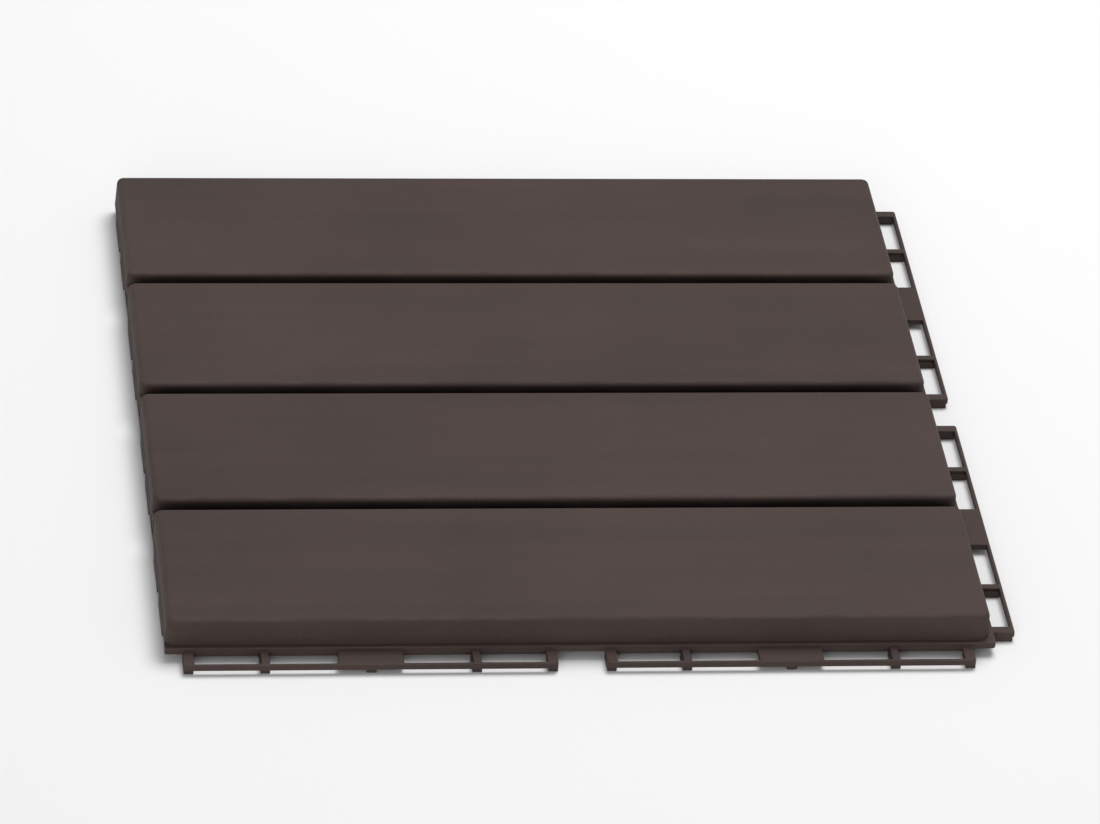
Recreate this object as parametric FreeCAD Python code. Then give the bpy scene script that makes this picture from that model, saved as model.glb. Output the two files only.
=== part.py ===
"""Interlocking deck tile, one plastic moulding.

Millimetres, +Z up, origin on the ground under the centre of the tile's pitch square.
The slats run along X. The rails with their slots stand out at the front (-Y) and on the right (+X),
and the tabs that drop into a neighbour's slots hang at the back (+Y) and on the left (-X).
"""
import FreeCAD, Part
import math
import os

V = FreeCAD.Vector

# Overall sizes
pitch = 300.0                  # from one tile to the next, both ways
height = 16.0                  # ground to the walking face
slat_count = 4
slat_gap = 6.0                 # between two slats, and between the slats of two tiles

# Slats
ledge_top = 5.5                # ground to the ledge, where the slats' side faces end
face_flare = 0.5               # how far a side face leans out from the walking face to the ledge
corner_radius = 2.6            # slat corners seen from above
edge_radius = 2.0              # rounding all round the walking face
skin = 2.4                     # thickness under the walking face

# Gap floors between the slats
floor_depth = 5.5              # below the walking face
floor_thickness = 2.0
floor_end_radius = 0.8         # rounded lip where a floor ends at a drain hole
hole_length = 18.0             # drain hole, along the gap

# Walls and ribs underneath
bay_count = 12                 # bays between cross ribs, along the slats
wall = 2.0                     # outer wall and the long walls of the slats
rib = 1.6                      # cross ribs and the rib under the middle of each slat
rib_clearance = 2.0            # under the ribs to the ground
mould_draft = 1.0              # degrees on every wall inside a pocket
foot_width = 6.4               # where a foot leaves the ribs
foot_taper = 0.5               # how far each side of a foot leans in towards the ground

# Ledge round the two sides with rails
ledge_gap = 0.3                # ledge to the pitch line
ledge_height = 2.4
ledge_radius = 1.6             # outer corners seen from above
ledge_edge = 0.5               # rounding of its upper edge

# Rails, two to a side
rail_gap = 17.5                # between the two rails of a side
rail_reach = 8.0               # past the pitch line
rail_wall = 1.2
rail_top = 4.0
rail_bottom = 1.8
rail_inner_setback = 0.4       # inner rail face behind the ledge's edge
rail_inner_wall = 2.0
rail_edge = 0.3                # rounding of the upper edges
rail_corner = 0.7              # bevel of the outer corners seen from above
end_post = 3.75
web = 2.75                     # narrow web between two slots
wide_web = 23.0                # in the rail's middle
rail_foot = 3.4                # width of a foot under a web

# Tabs
tab_fit = 0.3                  # tab to the rail wall that it hooks
tab_gap = 4.2                  # in the middle of each pair, over a narrow web
tab_end_fit = 0.5              # tab to the end of its slot
tab_ground_gap = 0.5
tab_slant = 2.0                # lead-in at both ends of a tab
tab_hook = 0.6                 # how far the hook reaches under the rail wall
tab_root = 3.6                 # how far a tab runs up inside the wall
tab_edge = 0.3                 # rounding of its lower edge
male_gap = 0.4                 # male wall above a neighbour's rails

over = 1.0                     # how far a cutting block runs past the face it cuts

# Worked out from the sizes above
slat_pitch = pitch / slat_count
slat_width = slat_pitch - slat_gap
slat_length = pitch - slat_gap
face_height = height - ledge_top
half_top = slat_length / 2.0
half_base = half_top + face_flare
floor_top = height - floor_depth
floor_under = floor_top - floor_thickness
bay = pitch / bay_count
inner_reach = half_top - wall
male_bottom = rail_top + male_gap
rail_centre = pitch / 4.0
rail_length = pitch / 2.0 - rail_gap
web_place = pitch / 8.0
ledge_reach = pitch / 2.0 - ledge_gap
rail_outer = pitch / 2.0 + rail_reach
rail_slot_outer = rail_outer - rail_wall
rail_inner = ledge_reach - rail_inner_setback
slat_centres = [(i - (slat_count - 1) / 2.0) * slat_pitch for i in range(slat_count)]
gap_centres = [(i - (slat_count - 2) / 2.0) * slat_pitch for i in range(slat_count - 1)]
cross_ribs = [(i - bay_count / 2.0) * bay for i in range(1, bay_count)]


def flare_at(z):
    """How far an outer face has leaned out at height z."""
    return face_flare * min(1.0, max(0.0, (height - z) / face_height))


def block(x0, x1, y0, y1, z0, z1):
    return Part.makeBox(x1 - x0, y1 - y0, z1 - z0, V(x0, y0, z0))


def rounded_wire(half_x, half_y, radius, z, centre_y=0.0):
    """A rectangle with round corners, as a wire at height z."""
    edges = []
    points = []
    for sx, sy, start in ((1, 1, 0), (-1, 1, 90), (-1, -1, 180), (1, -1, 270)):
        cx = sx * (half_x - radius)
        cy = centre_y + sy * (half_y - radius)
        arc = [V(cx + radius * math.cos(math.radians(start + a)),
                 cy + radius * math.sin(math.radians(start + a)), z) for a in (0, 45, 90)]
        points.append(arc)
    for i, arc in enumerate(points):
        edges.append(Part.Arc(*arc).toShape())
        edges.append(Part.LineSegment(arc[2], points[(i + 1) % 4][0]).toShape())
    return Part.Wire(edges)


def tapered(x0, x1, y0, y1, z0, z1, lean):
    """A block with flat sides that lean in by lean from the bottom to the top."""
    low = [V(x0, y0, z0), V(x1, y0, z0), V(x1, y1, z0), V(x0, y1, z0)]
    high = [V(x0 + lean, y0 + lean, z1), V(x1 - lean, y0 + lean, z1),
            V(x1 - lean, y1 - lean, z1), V(x0 + lean, y1 - lean, z1)]
    outlines = [low, high]
    for i in range(4):
        k = (i + 1) % 4
        outlines.append([low[i], low[k], high[k], high[i]])
    return Part.Solid(Part.Shell([Part.Face(Part.makePolygon(o + [o[0]])) for o in outlines]))


def slat(centre_y):
    """One slat's outside: leaning side faces, round corners and a rounded upper edge."""
    base = rounded_wire(half_base, slat_width / 2.0 + face_flare, corner_radius + face_flare, ledge_top, centre_y)
    top = rounded_wire(half_top, slat_width / 2.0, corner_radius, height, centre_y)
    solid = Part.makeLoft([base, top], True, True)
    rim = [e for e in solid.Edges if all(abs(v.Point.z - height) < 1e-6 for v in e.Vertexes)]
    return solid.makeFillet(edge_radius, rim)


def pocket(x0, x1, y0, y1, z0, z1):
    """A pocket open at the bottom, z0, that gets narrower upwards by the mould draft."""
    return tapered(x0, x1, y0, y1, z0, z1, (z1 - z0) * math.tan(math.radians(mould_draft)))


def bay_limits():
    """Start and end of each bay between two cross ribs, the outer ones ending at the outer walls."""
    starts = [-inner_reach] + [x + rib / 2.0 for x in cross_ribs]
    ends = [x - rib / 2.0 for x in cross_ribs] + [inner_reach]
    return list(zip(starts, ends))


def slat_pockets():
    """Pockets up to the skin, two beside the middle rib of each slat in every bay."""
    made = []
    for centre_y in slat_centres:
        for side in (-1, 1):
            near = centre_y + side * rib / 2.0
            far = centre_y + side * (slat_width / 2.0 - wall + face_flare)
            for x0, x1 in bay_limits():
                made.append(pocket(x0, x1, min(near, far), max(near, far), 0.0, height - skin))
    return made


def gap_pockets():
    """Pockets under the gap floors, between the long walls of two slats."""
    made = []
    half = slat_gap / 2.0 - face_flare
    for centre_y in gap_centres:
        for x0, x1 in bay_limits():
            made.append(pocket(x0, x1, centre_y - half, centre_y + half, 0.0, floor_under))
    return made


def hole_centres(index):
    """Drain holes of a gap: every second bay, and the other bays in the next gap."""
    first = 0 if index % 2 == 0 else 1
    return [(k + 0.5 - bay_count / 2.0) * bay for k in range(first, bay_count, 2)]


def drain_holes():
    """Each hole goes through a gap floor. Its ends are rounded over, and it stops at an outer wall."""
    made = []
    half = slat_gap / 2.0 - face_flare * floor_depth / face_height
    for index, centre_y in enumerate(gap_centres):
        for x in hole_centres(index):
            x0 = max(x - hole_length / 2.0, -inner_reach)
            x1 = min(x + hole_length / 2.0, inner_reach)
            hole = block(x0, x1, centre_y - half, centre_y + half, floor_under - over, floor_top + over)
            made.append(hole)
            for x_end, side in ((x0, -1), (x1, 1)):
                if abs(x_end) < inner_reach:
                    made.append(lip_cut(x_end, side, centre_y, half))
    return made


def lip_cut(x, side, centre_y, half):
    """What is cut away to round the upper edge of a floor that ends at x, on the side given."""
    r = floor_end_radius
    corner = V(x, centre_y - half, floor_top)
    along = V(x + side * r, centre_y - half, floor_top)
    down = V(x, centre_y - half, floor_top - r)
    bend = r * math.sqrt(0.5)
    middle = V(x + side * (r - bend), centre_y - half, floor_top - r + bend)
    section = Part.Wire([Part.LineSegment(corner, along).toShape(), Part.Arc(along, middle, down).toShape(),
                         Part.LineSegment(down, corner).toShape()])
    return Part.Face(section).extrude(V(0, 2.0 * half, 0))


def feet():
    """Feet on the ribs: where cross ribs meet the middle ribs of the slats, and under the walls of the gaps."""
    places = [(x, y) for y in slat_centres for x in cross_ribs[0::2]]
    places += [(x, y) for y in gap_centres for x in cross_ribs[1::2]]
    half = foot_width / 2.0 - foot_taper
    return [tapered(x - half, x + half, y - half, y + half, 0.0, rib_clearance, -foot_taper) for x, y in places]


def turned(shape, side):
    """Front features are modelled for the front side, and turned to the right side."""
    if side == "right":
        shape = shape.copy()
        shape.rotate(V(0, 0, 0), V(0, 0, 1), 90)
    return shape


def rail(centre_x):
    """A ladder of two walls and webs in front of the ledge, open between the webs, on feet."""
    half = rail_length / 2.0
    x0 = centre_x - half
    x1 = centre_x + half
    ladder = block(x0, x1, -rail_outer, -rail_inner + rail_inner_wall, rail_bottom, rail_top)
    front = [e for e in ladder.Edges if e.BoundBox.YMax < -rail_outer + 1e-6]
    upright = [e for e in front if e.BoundBox.ZLength > 1e-6]
    ladder = ladder.makeChamfer(rail_corner, upright).cut(rail_slots(centre_x))
    upper = [e for e in ladder.Edges if e.BoundBox.ZMin > rail_top - 1e-6]
    ladder = ladder.makeFillet(rail_edge, upper)
    inner_wall = block(x0, x1, -rail_inner, -rail_inner + rail_inner_wall, (rail_bottom + rail_top) / 2.0,
                       ledge_top - ledge_height / 2.0)
    places = [x0 + rail_foot / 2.0, centre_x - web_place, centre_x, centre_x + web_place, x1 - rail_foot / 2.0]
    under = [block(x - rail_foot / 2.0, x + rail_foot / 2.0, -rail_outer + rail_corner, -rail_inner, 0.0,
                   (rail_bottom + rail_top) / 2.0) for x in places]
    return ladder.fuse([inner_wall] + under)


def slot_limits(centre_x):
    """Start and end of the four slots of a rail."""
    half = rail_length / 2.0 - end_post
    ends = [-half, -web_place - web / 2.0, -web_place + web / 2.0, -wide_web / 2.0,
            wide_web / 2.0, web_place - web / 2.0, web_place + web / 2.0, half]
    return [(centre_x + ends[i], centre_x + ends[i + 1]) for i in range(0, len(ends), 2)]


def rail_slots(centre_x):
    return [block(x0, x1, -rail_slot_outer, -rail_inner, rail_bottom - over, rail_top + over)
            for x0, x1 in slot_limits(centre_x)]


def ledge():
    """A skirt under the slats that stands out at the front and on the right."""
    outer = rounded_wire(ledge_reach, ledge_reach, ledge_radius, ledge_top - ledge_height)
    solid = Part.Face(outer).extrude(V(0, 0, ledge_height))
    rim = [e for e in solid.Edges if e.BoundBox.ZMin > ledge_top - 1e-6]
    solid = solid.makeFillet(ledge_edge, rim)
    keep = block(-half_base, ledge_reach + over, -ledge_reach - over, half_base, 0.0, ledge_top)
    inside = block(-half_base - over, inner_reach, -inner_reach, half_base + over, 0.0, height)
    return solid.common(keep).cut(inside)


def tab(x0, x1):
    """One tab at the back: it hangs from the wall, with slanted ends and a hook that points inwards."""
    out = half_base
    inn = pitch - rail_slot_outer + tab_fit
    low = tab_ground_gap
    top = male_bottom + tab_root
    hook_top = rail_bottom - tab_fit
    profile = [V(x0, out, top), V(x0, inn, top), V(x0, inn, hook_top), V(x0, inn - tab_hook, hook_top),
               V(x0, inn, low), V(x0, out - tab_edge, low), V(x0, out, low + tab_edge), V(x0, out, top)]
    solid = Part.Face(Part.makePolygon(profile)).extrude(V(x1 - x0, 0, 0))
    rise = male_bottom - low
    for x, side in ((x0, 1), (x1, -1)):
        start = inn - tab_hook - over
        wedge = Part.makePolygon([V(x, start, low), V(x + side * tab_slant, start, low),
                                  V(x, start, low + rise), V(x, start, low)])
        solid = solid.cut(Part.Face(wedge).extrude(V(0, out - start + over, 0)))
    return solid


def tabs():
    """Pairs of tabs, each over a narrow web of the neighbour's rail."""
    made = []
    reach = rail_length / 2.0 - end_post - web_place - tab_end_fit
    for centre_x in (-rail_centre, rail_centre):
        for place in (-web_place, web_place):
            middle = centre_x + place
            made.append(tab(middle - reach, middle - tab_gap / 2.0))
            made.append(tab(middle + tab_gap / 2.0, middle + reach))
    return made


def tile():
    lower = Part.Face(rounded_wire(half_base, half_base, corner_radius, rib_clearance)).extrude(
        V(0, 0, ledge_top - rib_clearance))
    floors = [block(-half_top - flare_at(floor_top), half_top + flare_at(floor_top), y - slat_gap / 2.0,
                    y + slat_gap / 2.0, ledge_top, floor_top) for y in gap_centres]
    body = lower.multiFuse([slat(y) for y in slat_centres] + floors)
    body = body.cut(slat_pockets() + gap_pockets() + drain_holes())
    band = pitch - rail_outer - tab_fit
    far = half_base + over
    raised = [block(-far, far, band, far, 0.0, male_bottom), block(-far, -band, -far, far, 0.0, male_bottom)]
    body = body.cut(raised)
    added = feet() + [ledge()]
    for side in ("front", "right"):
        for centre_x in (-rail_centre, rail_centre):
            added.append(turned(rail(centre_x), side))
    for one in tabs():
        added.append(one)
        left = one.copy()
        left.rotate(V(0, 0, 0), V(0, 0, 1), 90)
        added.append(left)
    return body.multiFuse(added).removeSplitter()


os.makedirs("parts", exist_ok=True)
shape = tile()
shape.exportStep("parts/tile.step")
box = shape.BoundBox
print("solids", len(shape.Solids), "valid", shape.isValid(), "faces", len(shape.Faces))
print("volume cm3", round(shape.Volume / 1000.0, 1), "box", box.XMin, box.XMax, box.YMin, box.YMax, box.ZMin, box.ZMax)
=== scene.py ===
# %% [markdown]
# # An interlocking deck tile
# The tile is one injection moulding in dark brown plastic. Four flat slats with softly rounded edges lie
# over a ribbed underside. Slotted rails stand out on two sides, and small tabs hang on the other two, so
# that tiles of this kind click together. The solid comes ready made and has the right shape, so it is kept
# as it is. What is left is the finish: softened mould edges, the dull grained surface, the light and the
# camera.

# %% Load the solid tile
import math

import bpy
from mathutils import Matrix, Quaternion, Vector


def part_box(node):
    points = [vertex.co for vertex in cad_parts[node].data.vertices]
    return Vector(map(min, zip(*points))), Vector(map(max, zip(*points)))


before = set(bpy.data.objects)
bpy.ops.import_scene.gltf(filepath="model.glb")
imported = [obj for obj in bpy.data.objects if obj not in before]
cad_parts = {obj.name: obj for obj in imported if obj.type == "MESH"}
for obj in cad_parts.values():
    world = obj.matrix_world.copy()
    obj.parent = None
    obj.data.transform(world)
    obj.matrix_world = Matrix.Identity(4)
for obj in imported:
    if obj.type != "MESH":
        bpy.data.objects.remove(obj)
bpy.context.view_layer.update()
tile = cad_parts["tile"]
tile_low, tile_high = (Vector(corner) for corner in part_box("tile"))
height = tile_high.z - tile_low.z
print("tile", [round(v * 1000, 1) for v in tile_high - tile_low], "mm")

# %% [markdown]
# ## The plastic
# A real moulding of this kind has a dull surface: the steel mould was spark eroded, which leaves a fine,
# even grain that scatters the light. Over a palm's width the brown drifts a little, because pigment and
# filler mix unevenly as the plastic flows, and along the slats the flow leaves long, faint streaks. Edges
# that hands and shoes rub are a little smoother than the rest. They are painted paler too, partly as wear
# and partly as a painted highlight where edges and roundings catch the light. Shade is painted into the gaps
# and into the pits of the grain.
#
# An image could carry all this, but it would need a UV map and would blur when seen close. So the shader is
# one Principled BSDF fed by noise. Everything reads Object coordinates, in metres, so that each pattern has
# its real size and stays on the tile. Three short helpers add nodes and fill their sockets by name.

# %% Helpers for nodes
def live(sockets, name):
    """The socket of that name that is in use. A Mix node has one A and B for each kind of data."""
    return next(socket for socket in sockets if socket.name == name and socket.enabled)


def add_node(tree, kind, inputs=None, **settings):
    """Adds a node, sets its plain properties, and fills the sockets named in inputs."""
    node = tree.nodes.new(kind)
    for name, value in settings.items():
        setattr(node, name, value)
    for name, value in (inputs or {}).items():
        live(node.inputs, name).default_value = value
    return node


def mix(tree, data_type, factor, a, b):
    """Mixes the outputs a and b by a third. Any of the three may be a plain value instead."""
    node = add_node(tree, "ShaderNodeMix", data_type=data_type)
    for name, value in (("Factor", factor), ("A", a), ("B", b)):
        if isinstance(value, bpy.types.NodeSocket):
            tree.links.new(value, live(node.inputs, name))
        else:
            live(node.inputs, name).default_value = value
    return live(node.outputs, "Result")


# %% [markdown]
# ## Four building blocks
# The same kinds of node come back again and again: a noise, a map from one span of values to another, a
# calculation with two values, and a colour ramp. They could be laid out in full each time. A function for
# each keeps the later cells about the plastic, and less about sockets.

# %% Noise, span, calculation and ramp
def noise(tree, coordinates, scale, detail, roughness, distortion=0.0):
    """A noise over the coordinates, as a value that lies mostly near 0.5."""
    node = add_node(tree, "ShaderNodeTexNoise",
                    {"Scale": scale, "Detail": detail, "Roughness": roughness, "Distortion": distortion})
    tree.links.new(coordinates, node.inputs["Vector"])
    return node.outputs["Fac"]


def span(tree, value, low, high, to_low=0.0, to_high=1.0):
    """Takes low to to_low and high to to_high, evenly between them and held beyond them."""
    node = add_node(tree, "ShaderNodeMapRange",
                    {"From Min": low, "From Max": high, "To Min": to_low, "To Max": to_high})
    tree.links.new(value, node.inputs["Value"])
    return node.outputs["Result"]


def calculate(tree, operation, a, b):
    """One calculation with two values, such as MAXIMUM or MULTIPLY."""
    node = add_node(tree, "ShaderNodeMath", operation=operation)
    tree.links.new(a, node.inputs[0])
    tree.links.new(b, node.inputs[1])
    return node.outputs["Value"]


def ramp(tree, value, first, last, *between):
    """A colour ramp. Each of its stops is a place from 0 to 1 and a colour."""
    node = add_node(tree, "ShaderNodeValToRGB")
    stops = node.color_ramp.elements
    for index, (place, colour) in enumerate((first, last)):
        stops[index].position = place
        stops[index].color = colour
    for place, colour in between:
        stops.new(place).color = colour
    tree.links.new(value, node.inputs["Fac"])
    return node.outputs["Color"]


# %% [markdown]
# ## The brown and its drift
# One flat brown would look like paint. Three noises are mixed instead: wide clouds, streaks that are long in
# X, the way the slats run, and a fine speckle of painted shade that only shows from near by, where the pits
# of the mould grain are painted a little darker than its peaks. For the streaks a Mapping node squeezes the
# coordinates along X, so that the noise comes out drawn out. The mix picks a brown from a ramp of two near
# tones.

# %% The colour
BROWN_DEEP = (0.052, 0.036, 0.032, 1.0)
BROWN_LIGHT = (0.075, 0.052, 0.046, 1.0)
ALL_DEEP = 0.38            # noise value up to which the brown is all deep
ALL_LIGHT = 0.62           # and from which it is all light
CLOUD_SCALE = 9.0          # clouds about 110 mm across
STREAK_SCALE = 90.0        # streaks about 11 mm wide
STREAK_STRETCH = 0.06      # and some 180 mm long
STREAK_SHARE = 0.35
# Share of the painted shade on the grain: its pits are painted darker than its peaks.
GRAIN_SHADE_SHARE = 0.35


def brown_drift(tree, place, grain):
    """Clouds and streaks as one value from 0 to 1, and the brown that they make, with shade painted into the
    pits of the grain.
    """
    clouds = noise(tree, place, CLOUD_SCALE, detail=5.0, roughness=0.55, distortion=0.3)
    squeeze = add_node(tree, "ShaderNodeMapping", {"Scale": (STREAK_STRETCH, 1.0, 1.0)})
    tree.links.new(place, squeeze.inputs["Vector"])
    streaks = noise(tree, squeeze.outputs["Vector"], STREAK_SCALE, detail=3.0, roughness=0.5)
    drift = mix(tree, "FLOAT", STREAK_SHARE, clouds, streaks)
    # Shade is painted into the grain's pits here.
    grain_shaded = mix(tree, "FLOAT", GRAIN_SHADE_SHARE, drift, grain)
    return drift, ramp(tree, grain_shaded, (ALL_DEEP, BROWN_DEEP), (ALL_LIGHT, BROWN_LIGHT))


# %% [markdown]
# ## Where the edges are
# Handling rubs a moulding at its edges first, and its edges and roundings catch the light. The mask found
# here is used for both: wear, and a highlight painted on the edges and roundings. A mask could be painted by
# hand, but a shader can find the edges by itself. A Bevel node gives the normal that a rounded edge would
# have. The angle between that and the plain normal tells how near a sharp edge is. The slats' own roundings
# are part of the solid, so they are found by how far the surface leans.

# %% Sharp edges and roundings
BEVEL_SAMPLES = 4
# Reach of the wear and of the painted edge highlight, in from a sharp edge.
WEAR_AND_HIGHLIGHT_WIDTH = 0.0008      # reach of the rubbing, in from a sharp edge
FLAT_TURN = 0.995          # cosine of the angle between the normals that counts as flat
EDGE_TURN = 0.88           # and as an edge
BLACK = (0.0, 0.0, 0.0, 1.0)
WHITE = (1.0, 1.0, 1.0, 1.0)
UPRIGHT_FACE = 0.25        # upward part of the normal on a nearly upright face
SLANTED_FACE = 0.75        # on one that leans by about 45 degrees
LEVEL_FACE = 0.98          # and on a nearly level one


def sharp_edge(tree, plain_normal):
    """1 close to a sharp edge and 0 on flat faces."""
    wide = add_node(tree, "ShaderNodeBevel", {"Radius": WEAR_AND_HIGHLIGHT_WIDTH}, samples=BEVEL_SAMPLES)
    turn = add_node(tree, "ShaderNodeVectorMath", operation="DOT_PRODUCT")
    tree.links.new(wide.outputs["Normal"], turn.inputs[0])
    tree.links.new(plain_normal, turn.inputs[1])
    return span(tree, turn.outputs["Value"], FLAT_TURN, EDGE_TURN)


def leaning(tree, plain_normal):
    """1 where the surface leans, as on a rounded edge, and 0 on level and upright faces."""
    parts = add_node(tree, "ShaderNodeSeparateXYZ")
    tree.links.new(plain_normal, parts.inputs["Vector"])
    return ramp(tree, parts.outputs["Z"], (UPRIGHT_FACE, BLACK), (LEVEL_FACE, BLACK), (SLANTED_FACE, WHITE))


# %% [markdown]
# ## Wear and painted highlight in patches
# An even pale line along each edge would look drawn. Real wear comes and goes, so the mask, which paints
# both wear and a highlight along the edges, is multiplied by a noise with spots of a thumb's width.

# %% The rubbed tone and the painted edge highlight
# Pale brown on edges and roundings: wear, and a painted highlight.
WORN_AND_HIGHLIGHT_BROWN = (0.100, 0.076, 0.067, 1.0)
PATCH_SCALE = 60.0         # patches about 17 mm across
# Noise values where the wear and painted highlight are least and most, and the share of the pale tone there.
PATCH_VALUES = (0.38, 0.66)        # noise values where the wear is least and most
WEAR_AND_HIGHLIGHT_SHARE = (0.08, 0.6)                 # share of the rubbed tone there


def edge_wear_and_highlight(tree, place):
    """0 on flat faces, and more the more an edge is rubbed, with a painted highlight on edges and roundings
    too.
    """
    plain_normal = add_node(tree, "ShaderNodeNewGeometry").outputs["Normal"]
    # The pale tone here is wear, and also a painted highlight on edges and roundings.
    edges = calculate(tree, "MAXIMUM", sharp_edge(tree, plain_normal), leaning(tree, plain_normal))
    patches = noise(tree, place, PATCH_SCALE, detail=5.0, roughness=0.65)
    return calculate(tree, "MULTIPLY", edges, span(tree, patches, *PATCH_VALUES, *WEAR_AND_HIGHLIGHT_SHARE))


# %% [markdown]
# ## The painted shade in the gaps
# Between the slats and in the drain holes the plastic looks almost black, because little light gets in. That
# shade is painted into the colour here, darker than the lamps alone make it. A second material on those
# faces would end in a hard line. An Ambient Occlusion node gives a soft one: it measures how much of the
# view within 15 mm is left open by the tile itself. Beside a single wall, as on the ledge, that is still
# half. Between two walls it is less, and there the brown goes over to a dark one.

# %% The painted shade
# Painted shade: the dark brown that the gaps go over to.
PAINTED_GAP_SHADE = (0.007, 0.004, 0.003, 1.0)
GAP_REACH = 0.015
GAP_SAMPLES = 8
ONE_WALL = 0.5             # share of the view that is open beside one wall
TWO_WALLS = 0.34           # and deep between two
DARKEST = 0.95             # share of the dark brown there


def gap_shade_mask(tree):
    """Where shade is painted: 0 in the open, and near 1 deep in a gap."""
    around = add_node(tree, "ShaderNodeAmbientOcclusion", {"Distance": GAP_REACH},
                      samples=GAP_SAMPLES, only_local=True)
    return span(tree, around.outputs["AO"], ONE_WALL, TWO_WALLS, 0.0, DARKEST)


# %% [markdown]
# ## The mould grain and the smallest edges
# The grain is a fine noise, 0.6 mm from bump to bump and about a tenth of a millimetre high. Real bumps
# would take millions of faces, so a Bump node tilts the normal instead. From a few steps away the grain
# isn't seen as dots, but it keeps the light from gathering. The roughness follows the drift a little, and
# drops where an edge is rubbed.
#
# No mould edge is truly sharp. The larger roundings are in the solid. The smallest, about a quarter of a
# millimetre, come from a second Bevel node, whose normal goes into the Bump node.

# %% The whole material
PLASTIC_IOR = 1.47
GLOSS = 0.2                        # 0.5 would be polished plastic
GRAIN_SCALE = 1700.0
GRAIN_HEIGHT = 0.0002              # from the lowest to the highest value of the noise
GRAIN_STRENGTH = 0.8
EDGE_SOFTNESS = 0.00025
DRIFT_VALUES = (0.35, 0.65)        # values of the drift that are the smoothest and the dullest
DULLNESS = (0.64, 0.72)            # roughness there
RUBBED_ROUGHNESS = 0.5


def brown_plastic():
    """Dull brown plastic with mould grain, a slow drift in colour, pale edges of wear and painted highlight,
    and shade painted into the gaps and the grain's pits.
    """
    material = bpy.data.materials.new("brown_plastic")
    material.use_nodes = True
    tree = material.node_tree
    shader = tree.nodes["Principled BSDF"]
    shader.inputs["IOR"].default_value = PLASTIC_IOR
    shader.inputs["Specular IOR Level"].default_value = GLOSS

    place = add_node(tree, "ShaderNodeTexCoord").outputs["Object"]
    grain = noise(tree, place, GRAIN_SCALE, detail=3.0, roughness=0.6)
    drift, brown = brown_drift(tree, place, grain)
    # The pale edge tone is wear and a painted highlight on edges and roundings.
    wear_and_highlight = edge_wear_and_highlight(tree, place)
    worn_and_highlighted = mix(tree, "RGBA", wear_and_highlight, brown, WORN_AND_HIGHLIGHT_BROWN)
    # Shade is painted into the gaps here.
    tree.links.new(mix(tree, "RGBA", gap_shade_mask(tree), worn_and_highlighted, PAINTED_GAP_SHADE), shader.inputs["Base Color"])

    dull = span(tree, drift, *DRIFT_VALUES, *DULLNESS)
    tree.links.new(mix(tree, "FLOAT", wear_and_highlight, dull, RUBBED_ROUGHNESS), shader.inputs["Roughness"])

    soft = add_node(tree, "ShaderNodeBevel", {"Radius": EDGE_SOFTNESS}, samples=BEVEL_SAMPLES)
    bump = add_node(tree, "ShaderNodeBump", {"Strength": GRAIN_STRENGTH, "Distance": GRAIN_HEIGHT})
    tree.links.new(grain, bump.inputs["Height"])
    tree.links.new(soft.outputs["Normal"], bump.inputs["Normal"])
    tree.links.new(bump.outputs["Normal"], shader.inputs["Normal"])
    return material


# %% Put the plastic on the tile
plastic = brown_plastic()
tile.data.materials.clear()
tile.data.materials.append(plastic)
print("plastic nodes", len(plastic.node_tree.nodes))

# %% [markdown]
# ## The floor
# The floor is a plain, pale sheet, near white in the picture. A curved backdrop isn't needed, because the
# camera looks down and sees nothing but the floor. It keeps the tile's soft shadow, and throws light up at
# the front face and under the rails.

# %% The floor
FLOOR_GREY = 0.88
FLOOR_ROUGHNESS = 0.9
FLOOR_SIZE = 8.0
FLOOR_DROP = 0.00005       # a hair below the feet, so that the two never share a plane


def pale_floor():
    """A wide, pale sheet on the ground."""
    bpy.ops.object.select_all(action="DESELECT")
    bpy.ops.mesh.primitive_plane_add(size=FLOOR_SIZE, location=(0.0, 0.0, tile_low.z - FLOOR_DROP))
    floor = bpy.context.object
    floor.name = "floor"
    material = bpy.data.materials.new("pale_floor")
    material.use_nodes = True
    shader = material.node_tree.nodes["Principled BSDF"]
    shader.inputs["Base Color"].default_value = (FLOOR_GREY, FLOOR_GREY, FLOOR_GREY, 1.0)
    shader.inputs["Roughness"].default_value = FLOOR_ROUGHNESS
    floor.data.materials.append(material)
    return floor


print("floor", [round(v, 1) for v in pale_floor().dimensions], "m")

# %% [markdown]
# ## The light
# Small lamps would draw hard shadows in the gaps. So a large soft lamp hangs over the tile, a little behind
# it and to the right. The walking face is then the lightest part, and the roundings on the right catch a
# soft edge of light. The front face gets what the floor throws up, and a weak, wide fill from the front
# brings it to the photograph's tone. A dim white world fills in what is left.

# %% The lamps
LAMP_SIZE = 1.2


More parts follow.
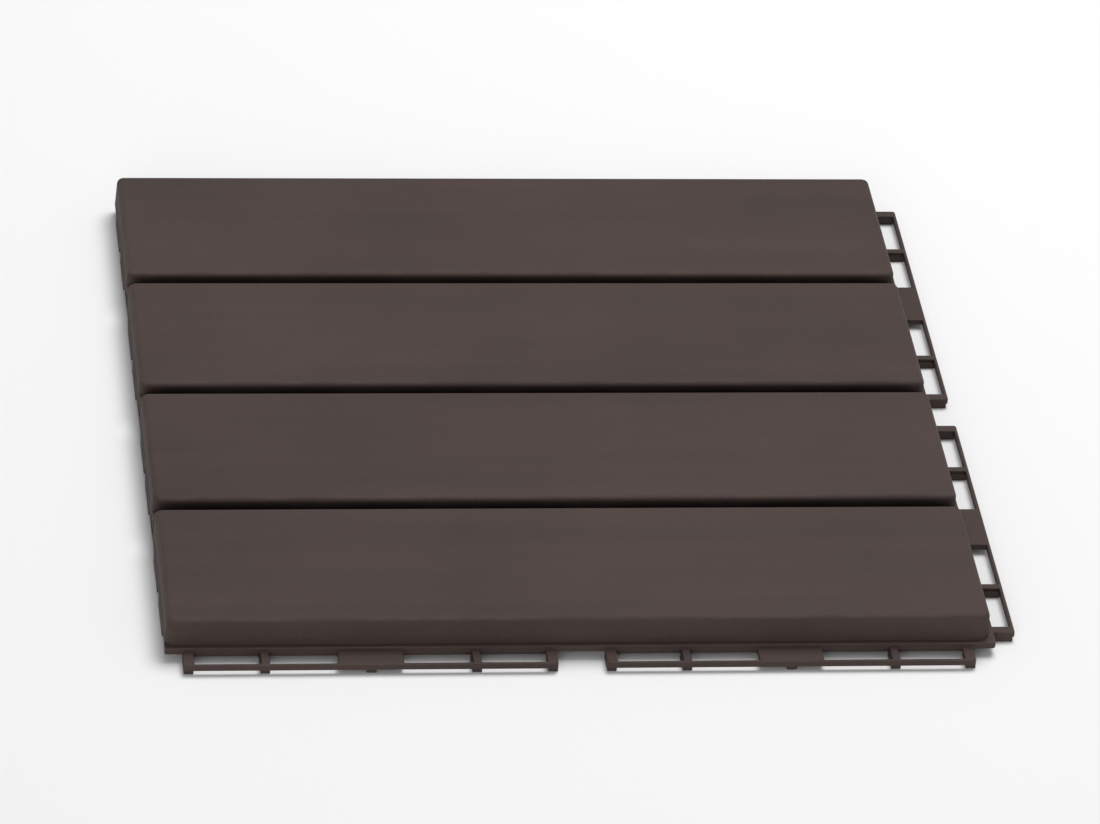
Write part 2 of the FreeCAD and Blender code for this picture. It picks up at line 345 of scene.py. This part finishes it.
def soft_lamp(name, place, power):
    """A square area lamp, turned towards the middle of the tile."""
    data = bpy.data.lights.new(name, "AREA")
    data.shape = "SQUARE"
    data.size = LAMP_SIZE
    data.energy = power
    lamp = bpy.data.objects.new(name, data)
    bpy.context.scene.collection.objects.link(lamp)
    lamp.location = place
    lamp.rotation_euler = (-Vector(place)).to_track_quat("-Z", "Y").to_euler()
    print(name, round(Vector(place).length, 2), "m away,", power, "W")


soft_lamp("high_softbox", (0.45, 0.65, 2.0), 37.0)
soft_lamp("front_fill", (-0.6, -1.9, 0.7), 12.0)

# %% The world
WORLD_STRENGTH = 0.32

world = bpy.data.worlds.new("studio")
bpy.context.scene.world = world
world.use_nodes = True
background = world.node_tree.nodes["Background"]
background.inputs["Color"].default_value = WHITE
background.inputs["Strength"].default_value = WORLD_STRENGTH

# %% [markdown]
# ## The camera
# The photograph looks down on this tile by about 34 degrees, from a little to the left, and from 2.5 m
# away, which keeps the perspective flat. The same place is used here, with a longer lens so that the one
# tile fills the picture. Going nearer instead would bend the outlines. A small roll keeps the slats level,
# as they are in the photograph, where the tile stands beside the picture's middle.

# %% The camera
CAMERA_AZIMUTH = math.radians(-9.18)
CAMERA_ELEVATION = math.radians(33.58)
CAMERA_ROLL = math.radians(4.96)
CAMERA_DISTANCE = 2.5517
SENSOR_WIDTH = 36.0
LENS = 225.0
AIM_ASIDE = 0.005          # from the origin to the middle of the tile with its rails

aim = Vector((AIM_ASIDE, -AIM_ASIDE, height / 2.0))
towards_camera = Vector((math.sin(CAMERA_AZIMUTH) * math.cos(CAMERA_ELEVATION),
                         -math.cos(CAMERA_AZIMUTH) * math.cos(CAMERA_ELEVATION),
                         math.sin(CAMERA_ELEVATION)))
camera_data = bpy.data.cameras.new("camera")
camera_data.sensor_width = SENSOR_WIDTH
camera_data.lens = LENS
camera = bpy.data.objects.new("camera", camera_data)
bpy.context.scene.collection.objects.link(camera)
camera.location = aim + towards_camera * CAMERA_DISTANCE
look = (-towards_camera).to_track_quat("-Z", "Y")
camera.rotation_mode = "QUATERNION"
camera.rotation_quaternion = look @ Quaternion((0.0, 0.0, 1.0), CAMERA_ROLL)
bpy.context.scene.camera = camera
bpy.context.scene.view_settings.view_transform = "Standard"
print("camera at", [round(v, 3) for v in camera.location], "m")
